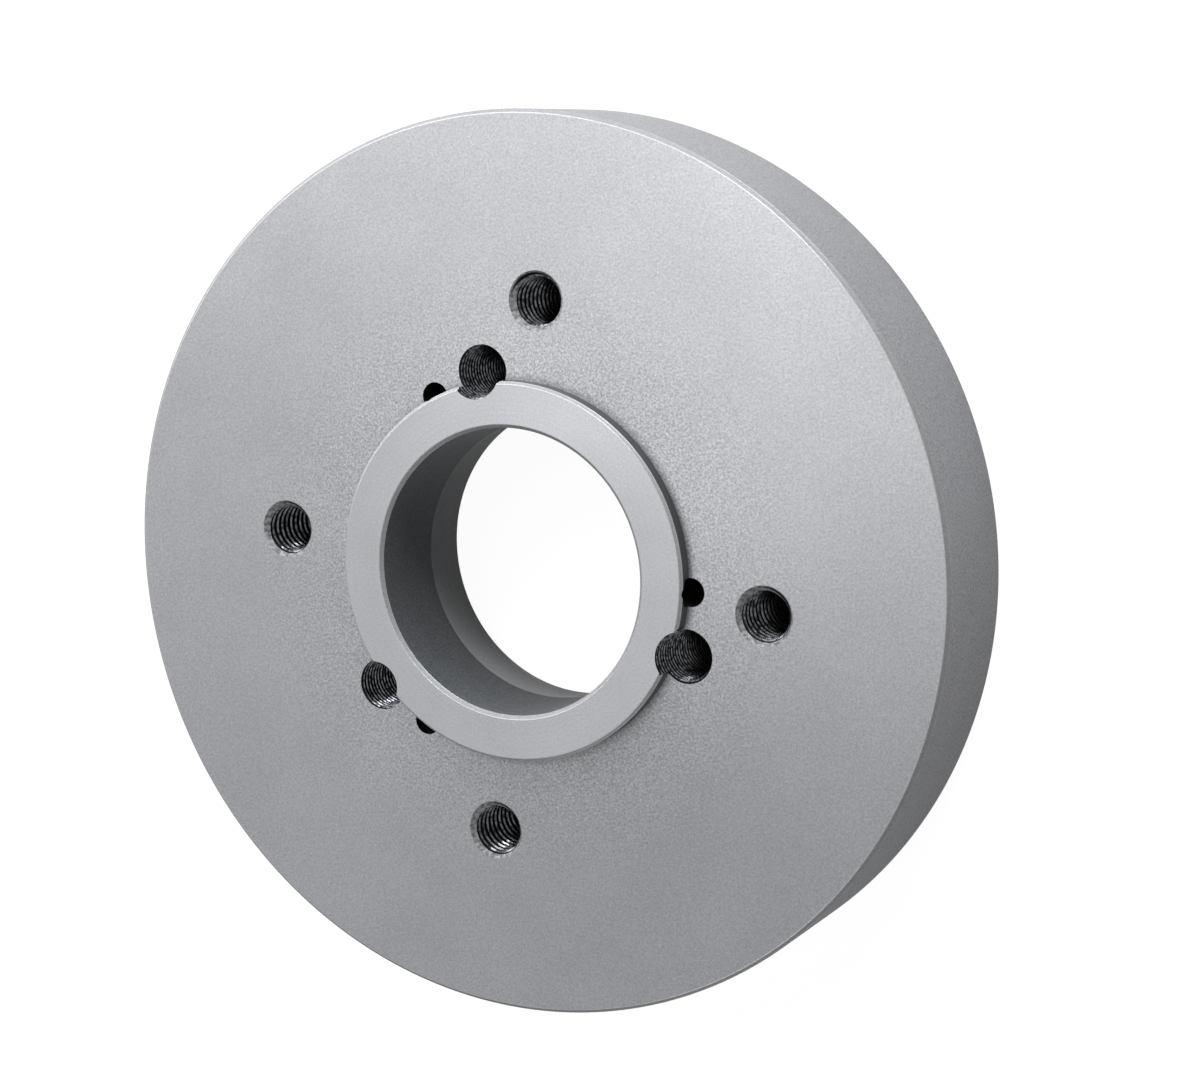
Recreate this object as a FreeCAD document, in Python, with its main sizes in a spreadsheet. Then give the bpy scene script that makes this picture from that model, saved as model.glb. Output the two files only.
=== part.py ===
import FreeCAD, Part
import math
import os
import Sketcher

# Chuck backplate: a turned disc that carries a lathe chuck on a D1-3 cam-lock spindle nose.
# The plate lies on its back face. The origin is the centre of that face and +Z is the spindle axis,
# so the raised register boss is on top and the taper socket opens downwards.

SIZES = {
    "outer_diameter": (160.0, "rim of the flange"),
    "flange_thickness": (27.0, "back face to front face"),
    "front_chamfer": (0.7, "front edge of the rim"),
    "rear_chamfer": (2.0, "rear edge of the rim"),
    "boss_diameter": (67.0, "register that the chuck's recess fits over"),
    "boss_height": (3.0, "front face to boss face"),
    "boss_chamfer": (0.5, "outer edge of the boss"),
    "bore_diameter": (50.8, "through bore"),
    "bore_chamfer": (0.65, "front edge of the bore"),
    "taper_depth": (12.7, "back face to the taper's root, where the bore begins"),
    "taper_half_angle": (7.125, "degrees from the axis"),
    "mouth_break": (0.3, "edge break at the taper's mouth"),
    "stud_count": (3, "cam studs"),
    "stud_angle": (90.0, "degrees from +X to the first stud"),
    "stud_circle": (70.66, "pitch circle diameter of the studs"),
    "stud_bore": (9.0, "tapping size of M10 x 1"),
    "stud_seat_diameter": (15.2, "counterbore for the plain shank of a stud"),
    "stud_seat_depth": (7.0, "from the back face"),
    "lock_lag": (18.0, "degrees from a stud to its lock screw"),
    "lock_circle": (67.8, "pitch circle diameter of the lock screws"),
    "lock_bore": (5.0, "tapping size of M6"),
    "lock_overrun": (1.5, "full diameter of the lock hole past the front face"),
    "lock_seat_diameter": (10.5, "counterbore for the head of a lock screw"),
    "lock_seat_depth": (6.5, "from the back face"),
    "drill_point": (118.0, "degrees, full angle of a drill's point"),
    "chuck_bolt_count": (4, "chuck bolts"),
    "chuck_bolt_lead": (15.0, "degrees from the first chuck bolt to the first stud"),
    "chuck_bolt_circle": (95.0, "pitch circle diameter of the chuck bolts"),
    "chuck_bolt_bore": (8.5, "tapping size of M10 x 1.5"),
    "countersink_diameter": (10.5, "mouth of a chuck bolt hole on the front face"),
    "countersink_angle": (90.0, "degrees, full angle"),
}

PART_NAME = "backplate"


def make_sheet(doc):
    sheet = doc.addObject("Spreadsheet::Sheet", "Sizes")
    for row, (alias, (value, note)) in enumerate(SIZES.items(), start=1):
        sheet.set(f"A{row}", alias)
        sheet.set(f"B{row}", str(value))
        sheet.set(f"C{row}", note)
        sheet.setAlias(f"B{row}", alias)
    doc.recompute()
    return sheet


def origin_feature(body, role):
    return next(item for item in body.Origin.OriginFeatures if item.Role == role)


def new_sketch(body, name, plane_role):
    sketch = body.newObject("Sketcher::SketchObject", name)
    sketch.AttachmentSupport = [(origin_feature(body, plane_role), "")]
    sketch.MapMode = "FlatFace"
    return sketch


def add_dimension(sketch, name, constraint, expression):
    index = sketch.addConstraint(constraint)
    sketch.renameConstraint(index, name)
    sketch.setExpression(f"Constraints.{name}", expression)


def profile_corners(sheet):
    """Corners of the half section as (radius, height), from the taper's mouth round to the taper's root."""
    rim = sheet.outer_diameter / 2
    boss = sheet.boss_diameter / 2
    bore = sheet.bore_diameter / 2
    slope = math.tan(math.radians(sheet.taper_half_angle))
    mouth = bore + sheet.taper_depth * slope
    face = sheet.flange_thickness
    top = face + sheet.boss_height
    return [
        (mouth + sheet.mouth_break, 0),
        (rim - sheet.rear_chamfer, 0),
        (rim, sheet.rear_chamfer),
        (rim, face - sheet.front_chamfer),
        (rim - sheet.front_chamfer, face),
        (boss, face),
        (boss, top - sheet.boss_chamfer),
        (boss - sheet.boss_chamfer, top),
        (bore + sheet.bore_chamfer, top),
        (bore, top - sheet.bore_chamfer),
        (bore, sheet.taper_depth),
        (mouth - sheet.mouth_break * slope, sheet.mouth_break),
    ]


# Lines of the half section, each named by what it turns.
BACK_FACE, REAR_EDGE, RIM, FRONT_EDGE, FRONT_FACE, BOSS_SIDE = range(6)
BOSS_EDGE, BOSS_FACE, BORE_EDGE, BORE, TAPER, MOUTH_EDGE = range(6, 12)

# Points of a line or circle, then the sketch's root point and horizontal axis, as constraints count them.
START, END, CENTRE = range(1, 4)
ROOT = X_AXIS = -1

# Radius of the taper in the plane of the back face, 26.9875 mm on a D1-3 nose.
TAPER_GAUGE = "Sizes.bore_diameter / 2 + Sizes.taper_depth * tan(Sizes.taper_half_angle * 1 deg)"


def draw_profile(sketch, sheet):
    corners = [FreeCAD.Vector(radius, height, 0) for radius, height in profile_corners(sheet)]
    following = corners[1:] + corners[:1]
    for here, there in zip(corners, following):
        sketch.addGeometry(Part.LineSegment(here, there), False)
    count = len(corners)
    for line in range(count):
        sketch.addConstraint(Sketcher.Constraint("Coincident", line, END, (line + 1) % count, START))
    for line in (BACK_FACE, FRONT_FACE, BOSS_FACE):
        sketch.addConstraint(Sketcher.Constraint("Horizontal", line))
    for line in (RIM, BOSS_SIDE, BORE):
        sketch.addConstraint(Sketcher.Constraint("Vertical", line))
    sketch.addConstraint(Sketcher.Constraint("PointOnObject", BACK_FACE, START, X_AXIS))


def size_radii(sketch, corners):
    rows = [
        ("rim_radius", RIM, "Sizes.outer_diameter / 2"),
        ("boss_radius", BOSS_SIDE, "Sizes.boss_diameter / 2"),
        ("bore_radius", BORE, "Sizes.bore_diameter / 2"),
        ("mouth_radius", BACK_FACE, f"{TAPER_GAUGE} + Sizes.mouth_break"),
    ]
    for name, line, expression in rows:
        radius = corners[line][0]
        add_dimension(sketch, name, Sketcher.Constraint("DistanceX", ROOT, START, line, START, radius), expression)


def size_heights(sketch, sheet):
    thickness = Sketcher.Constraint("DistanceY", ROOT, START, FRONT_FACE, START, sheet.flange_thickness)
    add_dimension(sketch, "face_height", thickness, "Sizes.flange_thickness")
    step = Sketcher.Constraint("DistanceY", FRONT_FACE, END, BOSS_FACE, START, sheet.boss_height)
    add_dimension(sketch, "boss_step", step, "Sizes.boss_height")


def size_chamfers(sketch, sheet):
    # (name, line, end that lies further out, end that lies higher)
    rows = [
        ("rear_chamfer", REAR_EDGE, END, END),
        ("front_chamfer", FRONT_EDGE, START, END),
        ("boss_chamfer", BOSS_EDGE, START, END),
        ("bore_chamfer", BORE_EDGE, START, START),
    ]
    for size, line, outer, upper in rows:
        inner = START if outer == END else END
        lower = START if upper == END else END
        value = getattr(sheet, size)
        across = Sketcher.Constraint("DistanceX", line, inner, line, outer, value)
        along = Sketcher.Constraint("DistanceY", line, lower, line, upper, value)
        add_dimension(sketch, f"{size}_across", across, f"Sizes.{size}")
        add_dimension(sketch, f"{size}_along", along, f"Sizes.{size}")


def size_taper(sketch, sheet):
    # The bore line and the taper line both run down, the taper line outwards as well.
    tilt = math.radians(sheet.taper_half_angle)
    angle = Sketcher.Constraint("Angle", BORE, START, TAPER, START, tilt)
    add_dimension(sketch, "taper_tilt", angle, "Sizes.taper_half_angle * 1 deg")
    root = Sketcher.Constraint("DistanceY", ROOT, START, TAPER, START, sheet.taper_depth)
    add_dimension(sketch, "taper_root", root, "Sizes.taper_depth")
    height = Sketcher.Constraint("DistanceY", ROOT, START, MOUTH_EDGE, START, sheet.mouth_break)
    add_dimension(sketch, "mouth_break_along", height, "Sizes.mouth_break")


def turn_blank(body, sheet):
    """The turned disc with its boss, bore and taper socket, from one half section."""
    sketch = new_sketch(body, "HalfSection", "XZ_Plane")
    corners = profile_corners(sheet)
    draw_profile(sketch, sheet)
    size_radii(sketch, corners)
    size_heights(sketch, sheet)
    size_chamfers(sketch, sheet)
    size_taper(sketch, sheet)
    blank = body.newObject("PartDesign::Revolution", "TurnedBlank")
    blank.Profile = sketch
    blank.ReferenceAxis = (sketch, ["V_Axis"])
    blank.Angle = 360
    sketch.Visibility = False
    return blank


def hole_sketch(body, name, circle_size, angle, bore_size, height=None):
    """One circle on a spoke of given length and angle, on the back face or at a height above it."""
    sheet = body.Document.Sizes
    sketch = new_sketch(body, name, "XY_Plane")
    if height:
        sketch.setExpression("AttachmentOffset.Base.z", height)
    reach = getattr(sheet, circle_size) / 2
    first_turn = math.radians(sheet.stud_angle)
    centre = FreeCAD.Vector(reach * math.cos(first_turn), reach * math.sin(first_turn), 0)
    spoke = sketch.addGeometry(Part.LineSegment(FreeCAD.Vector(0, 0, 0), centre), True)
    radius = getattr(sheet, bore_size) / 2
    rim = sketch.addGeometry(Part.Circle(centre, FreeCAD.Vector(0, 0, 1), radius), False)
    sketch.addConstraint(Sketcher.Constraint("Coincident", spoke, START, ROOT, START))
    sketch.addConstraint(Sketcher.Constraint("Coincident", rim, CENTRE, spoke, END))
    add_dimension(sketch, "reach", Sketcher.Constraint("Distance", spoke, reach), f"Sizes.{circle_size} / 2")
    turn = Sketcher.Constraint("Angle", X_AXIS, START, spoke, START, first_turn)
    add_dimension(sketch, "turn", turn, f"({angle}) * 1 deg")
    add_dimension(sketch, "bore", Sketcher.Constraint("Diameter", rim, 2 * radius), f"Sizes.{bore_size}")
    return sketch


def drill(body, name, sketch, bore_size):
    """A plain hole with no cut at its mouth yet. Its base has to be up to date before its sizes are set."""
    hole = body.newObject("PartDesign::Hole", name)
    hole.Profile = sketch
    body.Document.recompute()
    hole.ThreadType = "None"
    hole.setExpression("Diameter", f"Sizes.{bore_size}")
    hole.DrillPoint = "Angled"
    hole.setExpression("DrillPointAngle", "Sizes.drill_point * 1 deg")
    sketch.Visibility = False
    return hole


def counterbore(hole, seat):
    hole.HoleCutType = "Counterbore"
    hole.HoleCutCustomValues = True
    hole.setExpression("HoleCutDiameter", f"Sizes.{seat}_diameter")
    hole.setExpression("HoleCutDepth", f"Sizes.{seat}_depth")


def repeat(body, name, feature, count_size):
    pattern = body.newObject("PartDesign::PolarPattern", name)
    pattern.Originals = [feature]
    pattern.Axis = (origin_feature(body, "Z_Axis"), [""])
    pattern.Angle = 360
    pattern.setExpression("Occurrences", f"Sizes.{count_size}")
    body.Tip = pattern
    body.Document.recompute()
    return pattern


def drill_studs(body):
    """Tapped through from the back, with a seat for each stud's shank. They bite into the boss."""
    sketch = hole_sketch(body, "StudSpoke", "stud_circle", "Sizes.stud_angle", "stud_bore")
    hole = drill(body, "StudHole", sketch, "stud_bore")
    hole.Reversed = True
    hole.DepthType = "ThroughAll"
    counterbore(hole, "stud_seat")
    return repeat(body, "StudHoles", hole, "stud_count")


def drill_locks(body):
    """Drilled from the back just far enough to open the front face, with the drill's point in the boss."""
    angle = "Sizes.stud_angle + Sizes.lock_lag"
    sketch = hole_sketch(body, "LockSpoke", "lock_circle", angle, "lock_bore")
    hole = drill(body, "LockHole", sketch, "lock_bore")
    hole.Reversed = True
    hole.DepthType = "Dimension"
    hole.DrillForDepth = False
    hole.setExpression("Depth", "Sizes.flange_thickness + Sizes.lock_overrun")
    counterbore(hole, "lock_seat")
    return repeat(body, "LockHoles", hole, "stud_count")


def drill_chuck_bolts(body):
    """Tapped through from the front face and countersunk there."""
    angle = "Sizes.stud_angle - Sizes.chuck_bolt_lead"
    height = "Sizes.flange_thickness"
    sketch = hole_sketch(body, "ChuckBoltSpoke", "chuck_bolt_circle", angle, "chuck_bolt_bore", height)
    hole = drill(body, "ChuckBoltHole", sketch, "chuck_bolt_bore")
    hole.DepthType = "ThroughAll"
    hole.HoleCutType = "Countersink"
    hole.HoleCutCustomValues = True
    hole.setExpression("HoleCutDiameter", "Sizes.countersink_diameter")
    hole.setExpression("HoleCutCountersinkAngle", "Sizes.countersink_angle * 1 deg")
    return repeat(body, "ChuckBoltHoles", hole, "chuck_bolt_count")


def check_cuts(blank, patterns):
    """Every set of holes has to take metal away from what was there before it."""
    before = blank.Shape.Volume
    for pattern in patterns:
        after = pattern.Shape.Volume
        if after >= before:
            raise RuntimeError(f"{pattern.Name} removes nothing")
        before = after


def check_document(doc, body):
    for item in doc.Objects:
        faults = {"Invalid", "Error"} & set(item.State)
        if faults:
            raise RuntimeError(f"{item.Name} is {faults}")
    shape = body.Shape
    if shape.isNull() or not shape.isValid() or len(shape.Solids) != 1:
        raise RuntimeError("the plate isn't one valid solid")


def main():
    doc = FreeCAD.newDocument("ChuckBackplate")
    sheet = make_sheet(doc)
    body = doc.addObject("PartDesign::Body", "Backplate")
    body.Label = PART_NAME
    blank = turn_blank(body, sheet)
    doc.recompute()
    patterns = [drill_studs(body), drill_locks(body), drill_chuck_bolts(body)]
    doc.recompute()
    check_cuts(blank, patterns)
    check_document(doc, body)
    os.makedirs("parts", exist_ok=True)
    body.Shape.exportStep(f"parts/{body.Label}.step")
    print(f"{body.Label}: {body.Shape.Volume / 1000:.1f} cm3, {len(body.Shape.Faces)} faces")


main()
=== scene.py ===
import math
import bmesh
import bpy
from mathutils import Matrix, Vector


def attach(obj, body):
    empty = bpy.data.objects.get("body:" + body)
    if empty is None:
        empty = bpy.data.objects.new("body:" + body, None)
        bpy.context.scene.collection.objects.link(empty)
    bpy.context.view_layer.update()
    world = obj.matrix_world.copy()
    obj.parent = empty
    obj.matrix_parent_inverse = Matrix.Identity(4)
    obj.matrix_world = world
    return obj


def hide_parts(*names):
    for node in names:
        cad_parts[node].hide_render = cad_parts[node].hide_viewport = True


# Chuck backplate, turned from one casting. Sizes are in mm in the part's frame and scaled at the end.
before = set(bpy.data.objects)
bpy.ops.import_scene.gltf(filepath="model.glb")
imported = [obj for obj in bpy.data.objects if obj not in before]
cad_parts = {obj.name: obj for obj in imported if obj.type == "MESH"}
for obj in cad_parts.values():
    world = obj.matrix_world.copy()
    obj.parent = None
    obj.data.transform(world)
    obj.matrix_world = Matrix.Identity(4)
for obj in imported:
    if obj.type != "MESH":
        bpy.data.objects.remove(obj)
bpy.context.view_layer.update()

MM = 0.001
NODE = "backplate"

RIM = 80.0
FACE = 27.0
TOP = 30.0
BOSS = 33.5
BORE = 25.4
TAPER_DEPTH = 12.7
TAPER_SLOPE = math.tan(math.radians(7.125))
MOUTH = BORE + TAPER_DEPTH * TAPER_SLOPE
MOUTH_BREAK = 0.3
FRONT_CHAMFER = 0.7
REAR_CHAMFER = 2.0
BOSS_CHAMFER = 0.5
BORE_CHAMFER = 0.65

# Each set of holes is (distance from the axis, angles in degrees).
STUDS = (70.66 / 2, (90.0, 210.0, 330.0))
LOCKS = (67.8 / 2, (108.0, 228.0, 348.0))
BOLTS = (95.0 / 2, (75.0, 165.0, 255.0, 345.0))
STUD_SEAT = (15.2 / 2, 7.0)
LOCK_SEAT = (10.5 / 2, 6.5)
LOCK_DRILL_END = 28.5
BOLT_SINK = 10.5 / 2

# Each thread is (crest radius, root radius, pitch) of the tapped hole.
M10 = (4.25, 5.0, 1.5)
M10_FINE = (4.5, 5.0, 1.0)
M6 = (2.5, 3.0, 1.0)

# Section of a thread along one pitch, as parts of the pitch. The flank comes again after the root.
CREST_FLAT = 1 / 4
FLANK = 5 / 16
ROOT_FLAT = 1 / 8

# Part of a flank, from the crest, left as metal. The rest of the thread is painted shade.
BRIGHT_FLANK = 0.36

# How far a cutter stands out of the metal, the heights at which the stud threads begin and the lock threads
# begin and end, and half the angle of the drill's point in degrees.
SPARE = 1.0
STUD_THREAD_FROM = 5.0
LOCK_THREAD = (4.0, 24.0)
DRILL_POINT_HALF = 59.0

PLATE_SEGMENTS = 288
SEAT_SEGMENTS = 64
LOCK_SEGMENTS = 48
LOCK_THREAD_SEGMENTS = 36

# Direction in which each thread's groove runs out through the front face, in degrees.
BOLT_PHASES = (199.0, 135.0, 135.0, 135.0)
STUD_PHASES = (175.0, 205.0, 270.0)
LOCK_PHASES = (0.0, 120.0, 240.0)


def mesh_object(name, bm):
    bmesh.ops.recalc_face_normals(bm, faces=bm.faces)
    mesh = bpy.data.meshes.new(name)
    bm.to_mesh(mesh)
    bm.free()
    obj = bpy.data.objects.new(name, mesh)
    bpy.context.scene.collection.objects.link(obj)
    return obj


def spot(reach, degrees):
    angle = math.radians(degrees)
    return Vector((reach * math.cos(angle), reach * math.sin(angle), 0))


def ring(bm, centre, radius, height, segments):
    """A ring of vertices about an upright axis, or one vertex where the radius is nothing."""
    if radius == 0:
        return [bm.verts.new(centre + Vector((0, 0, height)))]
    turns = [360 * j / segments for j in range(segments)]
    return [bm.verts.new(centre + spot(radius, turn) + Vector((0, 0, height))) for turn in turns]


def join_rings(bm, lower, upper):
    count = max(len(lower), len(upper))
    for j in range(count):
        k = (j + 1) % count
        if len(lower) == 1:
            bm.faces.new((lower[0], upper[k], upper[j]))
        elif len(upper) == 1:
            bm.faces.new((lower[j], lower[k], upper[0]))
        else:
            bm.faces.new((lower[j], lower[k], upper[k], upper[j]))


def turned(bm, centre, profile, segments, closed=False):
    rings = [ring(bm, centre, radius, height, segments) for radius, height in profile]
    for lower, upper in zip(rings, rings[1:]):
        join_rings(bm, lower, upper)
    if closed:
        join_rings(bm, rings[-1], rings[0])


def eased(corners, steps=3):
    """Rounds each corner (radius, height, cut) of a closed section, from one cut before it to one after."""
    profile = []
    for index, (radius, height, cut) in enumerate(corners):
        here = Vector((radius, height))
        if cut == 0:
            profile.append(here)
            continue
        before = Vector(corners[index - 1][:2])
        after = Vector(corners[(index + 1) % len(corners)][:2])
        first = here + (before - here).normalized() * cut
        last = here + (after - here).normalized() * cut
        for step in range(steps + 1):
            u = step / steps
            profile.append(first * (1 - u) ** 2 + here * 2 * u * (1 - u) + last * u ** 2)
    return profile


def plate_blank():
    section = eased([
        (MOUTH + MOUTH_BREAK, 0, 0.05),
        (RIM - REAR_CHAMFER, 0, 0.15),
        (RIM, REAR_CHAMFER, 0.15),
        (RIM, FACE - FRONT_CHAMFER, 0.1),
        (RIM - FRONT_CHAMFER, FACE, 0.12),
        (BOSS, FACE, 0),
        (BOSS, TOP - BOSS_CHAMFER, 0.08),
        (BOSS - BOSS_CHAMFER, TOP, 0.08),
        (BORE + BORE_CHAMFER, TOP, 0.08),
        (BORE, TOP - BORE_CHAMFER, 0.08),
        (BORE, TAPER_DEPTH, 0),
        (MOUTH - MOUTH_BREAK * TAPER_SLOPE, MOUTH_BREAK, 0.05),
    ])
    bm = bmesh.new()
    turned(bm, Vector(), section, PLATE_SEGMENTS, closed=True)
    return mesh_object("backplate_turned", bm)


def add_thread(bm, centre, thread, bottom, top, groove_at, phase, segments=48):
    """A right-hand screw body. Its groove crosses the height groove_at in the direction phase."""
    crest, root, pitch = thread
    crest_end = pitch * CREST_FLAT
    root_start = crest_end + pitch * FLANK
    root_end = root_start + pitch * ROOT_FLAT
    bright_edge = (crest_end + pitch * FLANK * BRIGHT_FLANK, crest + (root - crest) * BRIGHT_FLANK)
    rows = [(0.0, crest), (crest_end, crest), bright_edge, (root_start, root), (root_end, root)]
    groove_middle = (root_start + root_end) / 2
    start = groove_at - groove_middle - pitch * phase / 360
    start -= pitch * math.ceil((start - bottom) / pitch + 1)
    count = segments * math.ceil((top - start) / pitch + 1)
    steps = []
    for i in range(count + 1):
        along = start + pitch * i / segments
        turn = 360 * i / segments
        steps.append([
            bm.verts.new(centre + spot(radius, turn) + Vector((0, 0, along + offset)))
            for offset, radius in rows
        ])
    for i in range(count):
        here, there = steps[i], steps[i + 1]
        for p in range(len(rows) - 1):
            bm.faces.new((here[p], there[p], there[p + 1], here[p + 1]))
        if i + 1 + segments <= count:
            bm.faces.new((here[-1], there[-1], steps[i + 1 + segments][0], steps[i + segments][0]))
    lower_loop = [step[0] for step in steps[:segments + 1]] + steps[0][:0:-1]
    upper_loop = [step[-1] for step in steps[-segments - 1:]] + steps[-1][-2::-1]
    for loop, height in ((lower_loop, start - pitch), (upper_loop, top + 4 * pitch)):
        tip = bm.verts.new(centre + Vector((0, 0, height)))
        for here, there in zip(loop, loop[1:] + loop[:1]):
            bm.faces.new((here, there, tip))


def thread_cutter():
    bm = bmesh.new()
    reach, angles = BOLTS
    for angle, phase in zip(angles, BOLT_PHASES):
        add_thread(bm, spot(reach, angle), M10, -SPARE, FACE + SPARE, FACE, phase)
    reach, angles = STUDS
    for angle, phase in zip(angles, STUD_PHASES):
        add_thread(bm, spot(reach, angle), M10_FINE, STUD_THREAD_FROM, TOP + SPARE, FACE, phase)
    return mesh_object("thread_cutter", bm)


def seat_cutter():
    """Countersinks of the chuck bolts and counterbores of the studs."""
    bm = bmesh.new()
    reach, angles = BOLTS
    sink = [(0, FACE - BOLT_SINK), (BOLT_SINK + SPARE, FACE + SPARE), (0, FACE + SPARE)]
    for angle in angles:
        turned(bm, spot(reach, angle), sink, SEAT_SEGMENTS)
    reach, angles = STUDS
    radius, depth = STUD_SEAT
    seat = [(0, -SPARE), (radius, -SPARE), (radius, depth), (0, depth)]
    for angle in angles:
        turned(bm, spot(reach, angle), seat, SEAT_SEGMENTS)
    return mesh_object("seat_cutter", bm)


def lock_cutter():
    """Drilled from the back, with a seat for the screw's head and the drill's point inside the boss."""
    bm = bmesh.new()
    reach, angles = LOCKS
    crest = M6[0]
    radius, depth = LOCK_SEAT
    point = LOCK_DRILL_END + crest / math.tan(math.radians(DRILL_POINT_HALF))
    seat = [(0, -SPARE), (radius, -SPARE), (radius, depth)]
    drilled = [(crest, depth), (crest, LOCK_DRILL_END), (0, point)]
    for angle in angles:
        turned(bm, spot(reach, angle), seat + drilled, LOCK_SEGMENTS)
    return mesh_object("lock_cutter", bm)


def lock_thread_cutter():
    bm = bmesh.new()
    reach, angles = LOCKS
    bottom, top = LOCK_THREAD
    for angle, phase in zip(angles, LOCK_PHASES):
        add_thread(bm, spot(reach, angle), M6, bottom, top, FACE, phase, segments=LOCK_THREAD_SEGMENTS)
    return mesh_object("lock_thread_cutter", bm)


def subtract(obj, cutter):
    modifier = obj.modifiers.new("cut", "BOOLEAN")
    modifier.operation = "DIFFERENCE"
    modifier.solver = "MANIFOLD"
    modifier.object = cutter
    depsgraph = bpy.context.evaluated_depsgraph_get()
    mesh = bpy.data.meshes.new_from_object(obj.evaluated_get(depsgraph))
    obj.modifiers.clear()
    obj.data = mesh
    bpy.data.objects.remove(cutter)


def build_plate():
    plate = plate_blank()
    for make_cutter in (thread_cutter, seat_cutter, lock_cutter, lock_thread_cutter):
        subtract(plate, make_cutter())
    plate.name = "backplate_casting"
    plate.data.name = plate.name
    return plate


# Surfaces of the plate, in the order of its material slots.
BLASTED, TURNED, EASED, EDGE, RIM_BAND, SHADED_BOSS_WALL, WALL, GROUND, SINK, THREAD, OIL_AND_SHADE = range(11)

# How flat, upturned or near a place a face has to be, and the angles that shade as edges.
FLAT_LIMIT = 0.9999
FACES_UP = 0.3
NEAR = 0.02
BOSS_SIDE_REACH = BOSS_CHAMFER + 5 * NEAR
CREASE = math.radians(12)
WORN_CREST = math.radians(65)


def hole_distance(centre, holes):
    """How far a face's centre is from the axis of the nearest hole of a set."""
    reach, angles = holes
    return min((centre.xy - spot(reach, angle).xy).length for angle in angles)


def in_hole(centre, holes, radius):
    return hole_distance(centre, holes) < radius + NEAR


def thread_surface(centre, normal, holes, thread):
    """Metal on the inner part of each flank that faces up; the rest is painted shade, near black where the
    crests shadow the thread.
    """
    crest, root, _ = thread
    inner = hole_distance(centre, holes) < crest + (root - crest) * BRIGHT_FLANK
    return THREAD if inner and normal.z > FACES_UP else OIL_AND_SHADE


def on_boss_side(centre, normal):
    """Whether a face is part of the boss's outer wall or of its eased edges, and not of a hole in it."""
    radius = math.hypot(centre.x, centre.y)
    across = abs(normal.x * centre.y - normal.y * centre.x) / radius
    return across < NEAR and centre.z > FACE and abs(radius - BOSS) < BOSS_SIDE_REACH


def hole_radius(height, seat, thread):
    """The radius of a hole with a seat at the back: the seat's, or above it the thread's root."""
    radius, depth = seat
    return radius if height < depth + NEAR else thread[1]


def surface_of(centre, normal):
    radius = math.hypot(centre.x, centre.y)
    flat = abs(normal.z) > FLAT_LIMIT
    chamfered = abs(normal.z - math.sqrt(0.5)) < NEAR
    if flat and abs(centre.z - FACE) < NEAR:
        return BLASTED
    if flat and (abs(centre.z - TOP) < NEAR or centre.z < NEAR):
        return TURNED
    if radius < MOUTH + MOUTH_BREAK and centre.z < TOP - BORE_CHAMFER:
        # The bore's wall takes the darker material, which is painted shade.
        return GROUND if centre.z < TAPER_DEPTH else WALL
    if chamfered:
        return SINK if in_hole(centre, BOLTS, BOLT_SINK) else EDGE
    if on_boss_side(centre, normal):
        # The boss's outer wall takes a near-black colour that is painted shade.
        return SHADED_BOSS_WALL if abs(normal.z) < NEAR else EASED
    if in_hole(centre, LOCKS, hole_radius(centre.z, LOCK_SEAT, M6)):
        return OIL_AND_SHADE
    if in_hole(centre, STUDS, hole_radius(centre.z, STUD_SEAT, M10_FINE)):
        return thread_surface(centre, normal, STUDS, M10_FINE)
    if in_hole(centre, BOLTS, BOLT_SINK):
        return thread_surface(centre, normal, BOLTS, M10)
    if radius > RIM - REAR_CHAMFER and centre.z < FACE - FRONT_CHAMFER:
        return RIM_BAND
    return EASED


def finish_mesh(plate):
    """Names each face's surface, shades flats flat and the rest smooth, and scales to metres."""
    bm = bmesh.new()
    bm.from_mesh(plate.data)
    bm.normal_update()
    for face in bm.faces:
        face.material_index = surface_of(face.calc_center_median(), face.normal)
        face.smooth = abs(face.normal.z) < FLAT_LIMIT
    for edge in bm.edges:
        worn = edge.is_convex and all(face.material_index == THREAD for face in edge.link_faces)
        edge.smooth = edge.is_manifold and edge.calc_face_angle(0) < (WORN_CREST if worn else CREASE)
    bm.to_mesh(plate.data)
    bm.free()
    plate.data.transform(Matrix.Scale(MM, 4))


# Scales of the noise textures, per metre.
GRAIN_SCALE = 2600
GRIT_SCALE = 1700
RING_SCALE = 1800
TORN_SCALE = 1500
GRIME_SCALE = 900
FACE_CLOUD_SCALE = 60
TURNED_CLOUD_SCALE = 90

# Radii in mm between which the blasted face grows coarser, and how far the painted shade at the base of the
# boss reaches.
COARSE_FROM = 56
COARSE_TO = 34
BASE_SHADE_REACH = 1.6


def socket(tree, target, value):
    """Sets an input to a constant, or links it where the value is an output."""
    if isinstance(value, bpy.types.NodeSocket):
        tree.links.new(value, target)
    else:
        target.default_value = value


def math_node(tree, operation, first, second=0.0):
    node = tree.nodes.new("ShaderNodeMath")
    node.operation = operation
    socket(tree, node.inputs[0], first)
    socket(tree, node.inputs[1], second)
    return node.outputs[0]


def noise(tree, vector, scale, detail=2.0, roughness=0.5):
    node = tree.nodes.new("ShaderNodeTexNoise")
    node.inputs["Scale"].default_value = scale
    node.inputs["Detail"].default_value = detail
    node.inputs["Roughness"].default_value = roughness
    tree.links.new(vector, node.inputs["Vector"])
    return node.outputs["Fac"]


def spread(tree, value, low, high, to_low, to_high):
    node = tree.nodes.new("ShaderNodeMapRange")
    socket(tree, node.inputs["Value"], value)
    node.inputs["From Min"].default_value = low
    node.inputs["From Max"].default_value = high
    node.inputs["To Min"].default_value = to_low
    node.inputs["To Max"].default_value = to_high
    return node.outputs["Result"]


def tinted(tree, colour, brightness):
    node = tree.nodes.new("ShaderNodeVectorMath")
    node.operation = "SCALE"
    node.inputs[0].default_value = colour
    socket(tree, node.inputs["Scale"], brightness)
    return node.outputs["Vector"]


def bump(tree, height, distance, strength):
    node = tree.nodes.new("ShaderNodeBump")
    node.inputs["Distance"].default_value = distance
    node.inputs["Strength"].default_value = strength
    tree.links.new(height, node.inputs["Height"])
    return node.outputs["Normal"]


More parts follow.
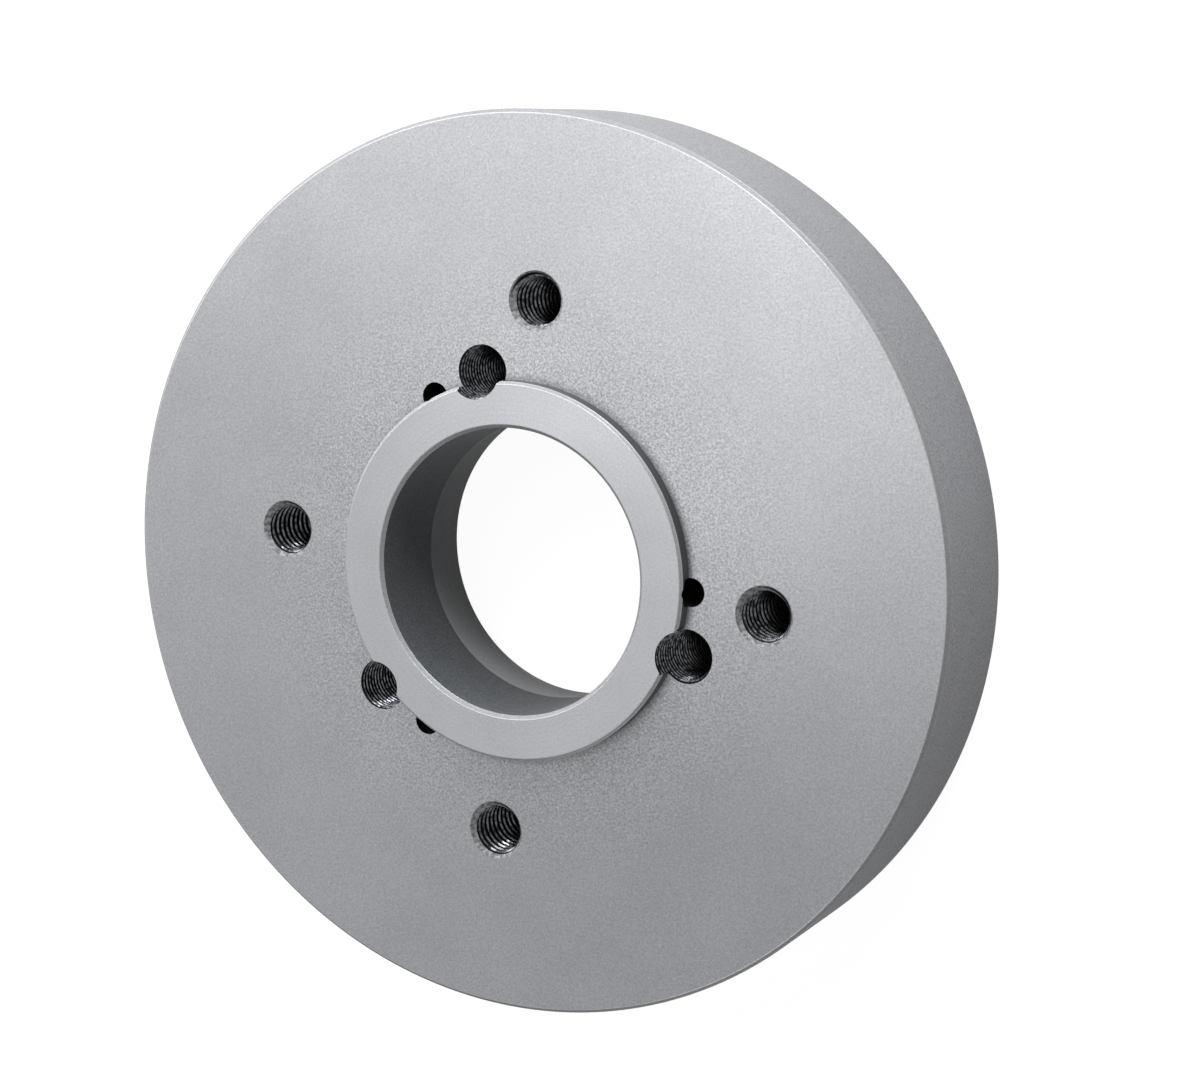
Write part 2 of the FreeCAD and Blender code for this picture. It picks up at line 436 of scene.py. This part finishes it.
def leaned(tree, radius, lean, normal):
    """Leans the shading outward, as the one-sided flanks of feed marks do."""
    node = tree.nodes.new("ShaderNodeBump")
    node.invert = True
    node.inputs["Distance"].default_value = lean
    tree.links.new(radius, node.inputs["Height"])
    tree.links.new(normal, node.inputs["Normal"])
    return node.outputs["Normal"]


def new_material(name, metallic):
    material = bpy.data.materials.new(name)
    material.use_nodes = True
    tree = material.node_tree
    shader = tree.nodes["Principled BSDF"]
    shader.inputs["Metallic"].default_value = metallic
    place = tree.nodes.new("ShaderNodeTexCoord").outputs["Object"]
    return material, tree, shader, place


def turning_marks(tree, shader, strength):
    """Stretches the gloss across the lathe's circular marks."""
    shader.inputs["Anisotropic"].default_value = strength
    tangent = tree.nodes.new("ShaderNodeTangent")
    tangent.direction_type = "RADIAL"
    tangent.axis = "Z"
    tree.links.new(tangent.outputs[0], shader.inputs["Tangent"])


def axis_distance(tree, place):
    split = tree.nodes.new("ShaderNodeSeparateXYZ")
    tree.links.new(place, split.inputs[0])
    x_squared = math_node(tree, "MULTIPLY", split.outputs["X"], split.outputs["X"])
    y_squared = math_node(tree, "MULTIPLY", split.outputs["Y"], split.outputs["Y"])
    radius = math_node(tree, "SQRT", math_node(tree, "ADD", x_squared, y_squared))
    return radius, split.outputs["Z"]


def varied(tree, value, amount):
    """A level about 1 that follows a noise value about 0.5."""
    shifted = math_node(tree, "SUBTRACT", value, 0.5)
    return math_node(tree, "ADD", math_node(tree, "MULTIPLY", shifted, amount), 1.0)


def blasted_material():
    """Milled face after fine blasting: a dull grain, coarser beside the boss, with a few grit marks, and
    painted shade that darkens the face at the base of the boss.
    """
    material, tree, shader, place = new_material("iron_blasted", 0.7)
    radius, _ = axis_distance(tree, place)
    coarse = spread(tree, radius, COARSE_FROM * MM, COARSE_TO * MM, 0.75, 1.9)
    grain = noise(tree, place, GRAIN_SCALE, 2.0, 0.6)
    clouds = noise(tree, place, FACE_CLOUD_SCALE, 3.0)
    grit = noise(tree, place, GRIT_SCALE, 1.0)
    level = varied(tree, grain, coarse)
    level = math_node(tree, "MULTIPLY", level, varied(tree, clouds, 0.18))
    sparkle = math_node(tree, "MULTIPLY", spread(tree, grit, 0.68, 0.78, 0.0, 0.25), coarse)
    level = math_node(tree, "ADD", level, sparkle)
    level = math_node(tree, "SUBTRACT", level, spread(tree, grit, 0.27, 0.20, 0.0, 0.2))
    # Painted shade: the face is darkened next to the boss, standing in for the shadow at its base.
    base_shade = spread(tree, radius, (BOSS + BASE_SHADE_REACH) * MM, BOSS * MM, 1.0, 0.65)
    level = math_node(tree, "MULTIPLY", level, base_shade)
    socket(tree, shader.inputs["Base Color"], tinted(tree, (0.60, 0.612, 0.64), level))
    shader.inputs["Roughness"].default_value = 0.42
    turning_marks(tree, shader, 0.5)
    normal = leaned(tree, radius, 0.12, bump(tree, grain, 0.00004, 0.5))
    socket(tree, shader.inputs["Normal"], normal)
    return material


def turned_material(
    name, colour, metallic, roughness, marks=0.0, ring_depth=0.3, grain_depth=0.6, gloss=0.5
):
    """Lathe-turned iron: faint rings at one radius and height, over a fine grain."""
    material, tree, shader, place = new_material(name, metallic)
    radius, height = axis_distance(tree, place)
    join = tree.nodes.new("ShaderNodeCombineXYZ")
    tree.links.new(radius, join.inputs["X"])
    tree.links.new(height, join.inputs["Y"])
    rings = noise(tree, join.outputs[0], RING_SCALE, 2.0)
    grain = noise(tree, place, GRAIN_SCALE, 2.0)
    clouds = noise(tree, place, TURNED_CLOUD_SCALE, 3.0)
    level = varied(tree, rings, ring_depth)
    level = math_node(tree, "MULTIPLY", level, varied(tree, grain, grain_depth))
    level = math_node(tree, "MULTIPLY", level, varied(tree, clouds, 0.15))
    socket(tree, shader.inputs["Base Color"], tinted(tree, colour, level))
    shader.inputs["Roughness"].default_value = roughness
    shader.inputs["Specular IOR Level"].default_value = gloss
    turning_marks(tree, shader, marks)
    socket(tree, shader.inputs["Normal"], bump(tree, rings, 0.00001, 0.3))
    return material


def torn_material(name, colour, metallic, roughness, darkest, brightest):
    """Cut metal that the tool has torn into patches between the two levels."""
    material, tree, shader, place = new_material(name, metallic)
    torn = noise(tree, place, TORN_SCALE, 2.0, 0.6)
    level = spread(tree, torn, 0.38, 0.62, darkest, brightest)
    socket(tree, shader.inputs["Base Color"], tinted(tree, colour, level))
    shader.inputs["Roughness"].default_value = roughness
    socket(tree, shader.inputs["Normal"], bump(tree, torn, 0.00003, 0.5))
    return material


def oil_and_shade_material():
    """Lock holes black with oil and swarf, and the thread grooves, where the same near black is painted
    shade under the crests.
    """
    material, tree, shader, place = new_material("iron_oil_and_painted_shade", 0.0)
    grime = noise(tree, place, GRIME_SCALE, 3.0)
    level = varied(tree, grime, 1.0)
    # Near black: oil in the lock holes, painted shade in the thread grooves.
    socket(tree, shader.inputs["Base Color"], tinted(tree, (0.008, 0.010, 0.013), level))
    shader.inputs["Roughness"].default_value = 0.6
    shader.inputs["Specular IOR Level"].default_value = 0.1
    return material


def dress(plate):
    """Fills the material slots. Each row has a name, a colour, how metallic and how rough it is."""
    plate.data.materials.clear()
    for material in (
        blasted_material(),
        turned_material("iron_turned", (0.90, 0.917, 0.965), 0.9, 0.15, 0.8, 0.15, grain_depth=0.3),
        turned_material("iron_eased", (0.70, 0.705, 0.73), 0.6, 0.4),
        turned_material("iron_edge", (0.50, 0.505, 0.525), 0.25, 0.6),
        turned_material("iron_rim", (0.88, 0.89, 0.935), 0.6, 0.4, grain_depth=1.2),
        # Painted shade: the boss's outer wall is coloured near black for the shade along it.
        turned_material("iron_boss_wall_painted_shade", (0.08, 0.08, 0.085), 0.1, 0.4),
        # Painted shade: the bore's wall is coloured much darker than the iron, for the shade inside the
        # bore.
        turned_material("iron_bore_painted_shade", (0.162, 0.174, 0.186), 0.0, 0.45, grain_depth=1.5, gloss=0.2),
        turned_material("iron_ground", (0.52, 0.527, 0.54), 0.0, 0.45, gloss=0.2),
        torn_material("iron_sink", (0.36, 0.365, 0.38), 0.3, 0.6, 0.55, 1.5),
        torn_material("iron_thread", (0.17, 0.176, 0.19), 1.0, 0.2, 0.2, 1.7),
        oil_and_shade_material(),
    ):
        plate.data.materials.append(material)


# Brightness of floor and world, as the camera, a mirrored ray or plain light meets them. Near the plate the
# mirrored floor is darker and rises to full over the next metre. Under the bore it is lighter again.
FLOOR_SEEN = 0.95
FLOOR_MIRRORED = 0.1
BORE_MIRRORED = 0.22
WORLD_LEVEL = 0.05
WORLD_MIRRORED = 0.45

FLOOR_HALF = 3000
FLOOR_DROP = 0.02
DARK_TO = 150
LIGHT_FROM = 1000
UNDER_BORE = 30


def mirror_rays(tree, path):
    return math_node(tree, "MAXIMUM", path.outputs["Is Glossy Ray"], path.outputs["Is Transmission Ray"])


def floor_material():
    material = bpy.data.materials.new("floor_pale")
    material.use_nodes = True
    tree = material.node_tree
    tree.nodes.clear()
    output = tree.nodes.new("ShaderNodeOutputMaterial")
    paint = tree.nodes.new("ShaderNodeBsdfDiffuse")
    paint.inputs["Color"].default_value = (0.25, 0.25, 0.25, 1)
    glow = tree.nodes.new("ShaderNodeEmission")
    path = tree.nodes.new("ShaderNodeLightPath")
    place = tree.nodes.new("ShaderNodeTexCoord").outputs["Object"]
    length = tree.nodes.new("ShaderNodeVectorMath")
    length.operation = "LENGTH"
    tree.links.new(place, length.inputs[0])
    reach = length.outputs["Value"]
    outside = spread(tree, reach, DARK_TO * MM, LIGHT_FROM * MM, FLOOR_MIRRORED, FLOOR_SEEN)
    inside = math_node(tree, "LESS_THAN", reach, UNDER_BORE * MM)
    below = math_node(tree, "ADD", outside, math_node(tree, "MULTIPLY", inside, BORE_MIRRORED))
    mirrored = math_node(tree, "MULTIPLY", mirror_rays(tree, path), below)
    seen = math_node(tree, "MULTIPLY", path.outputs["Is Camera Ray"], FLOOR_SEEN)
    socket(tree, glow.inputs["Strength"], math_node(tree, "MAXIMUM", seen, mirrored))
    both = tree.nodes.new("ShaderNodeAddShader")
    tree.links.new(paint.outputs[0], both.inputs[0])
    tree.links.new(glow.outputs[0], both.inputs[1])
    tree.links.new(both.outputs[0], output.inputs["Surface"])
    return material


def add_floor():
    bm = bmesh.new()
    half = FLOOR_HALF * MM
    corners = [(-half, -half), (half, -half), (half, half), (-half, half)]
    bm.faces.new([bm.verts.new((x, y, -FLOOR_DROP * MM)) for x, y in corners])
    floor = mesh_object("floor", bm)
    floor.data.materials.append(floor_material())


def add_world():
    world = bpy.data.worlds.new("studio")
    bpy.context.scene.world = world
    world.use_nodes = True
    tree = world.node_tree
    background = tree.nodes["Background"]
    background.inputs["Color"].default_value = (1, 1, 1, 1)
    path = tree.nodes.new("ShaderNodeLightPath")
    mirrored = math_node(tree, "MULTIPLY", mirror_rays(tree, path), WORLD_MIRRORED)
    seen = math_node(tree, "MAXIMUM", path.outputs["Is Camera Ray"], mirrored)
    socket(tree, background.inputs["Strength"], math_node(tree, "MAXIMUM", seen, WORLD_LEVEL))


# Soft lamps as (azimuth, elevation, distance, size, watts), in degrees and metres. Four low ones light the
# upper side and one the lower. The middle and high ones give the boss its two brighter sectors.
LAMPS = (
    (60, 15, 0.6, 0.3, 1.00),
    (90, 15, 0.6, 0.3, 0.27),
    (120, 15, 0.6, 0.3, 0.98),
    (150, 15, 0.6, 0.3, 0.75),
    (270, 15, 0.6, 0.3, 0.40),
    (60, 30, 0.6, 0.15, 0.63),
    (120, 40, 0.6, 0.3, 0.08),
    (225, 40, 0.6, 0.3, 0.026),
    (202, 47, 0.6, 0.1, 0.023),
    (105, 50, 0.6, 0.15, 0.49),
    (100, 71, 0.6, 0.1, 0.154),
    (150, 75, 0.45, 0.2, 0.037),
    (90, 80, 0.45, 0.2, 0.054),
)


def add_lamp(azimuth, elevation, distance, size, watts):
    light = bpy.data.lights.new("lamp", "AREA")
    light.shape = "SQUARE"
    light.size = size
    light.energy = watts
    lamp = bpy.data.objects.new("lamp", light)
    bpy.context.scene.collection.objects.link(lamp)
    level = spot(math.cos(math.radians(elevation)), azimuth)
    way = level + Vector((0, 0, math.sin(math.radians(elevation))))
    lamp.location = way * distance
    lamp.rotation_euler = (-way).to_track_quat("-Z", "Y").to_euler()


# Camera fitted to the edges of the rim, the boss, the bore and the holes. Places are in mm, the roll is in
# degrees.
CAMERA_PLACE = (225.193, 37.47, 424.814)
CAMERA_AIM = (17.372, 2.95, FACE)
CAMERA_ROLL = 8.8722
CAMERA_LENS = 78.428
CAMERA_SENSOR = 36


def add_camera():
    place = Vector(CAMERA_PLACE)
    aim = Vector(CAMERA_AIM)
    roll = math.radians(CAMERA_ROLL)
    back = (place - aim).normalized()
    level_up = (Vector((0, 1, 0)) - back * back.y).normalized()
    level_right = level_up.cross(back)
    up = level_up * math.cos(roll) + level_right * math.sin(roll)
    right = up.cross(back)
    data = bpy.data.cameras.new("camera")
    data.sensor_width = CAMERA_SENSOR
    data.lens = CAMERA_LENS
    camera = bpy.data.objects.new("camera", data)
    turn = Matrix((right, up, back)).transposed().to_4x4()
    camera.matrix_world = Matrix.Translation(place * MM) @ turn
    bpy.context.scene.collection.objects.link(camera)
    bpy.context.scene.camera = camera


plate = build_plate()
dress(plate)
finish_mesh(plate)
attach(plate, "root")
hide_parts(NODE)

add_floor()
add_world()
for lamp in LAMPS:
    add_lamp(*lamp)
add_camera()
bpy.context.scene.view_settings.view_transform = "Standard"
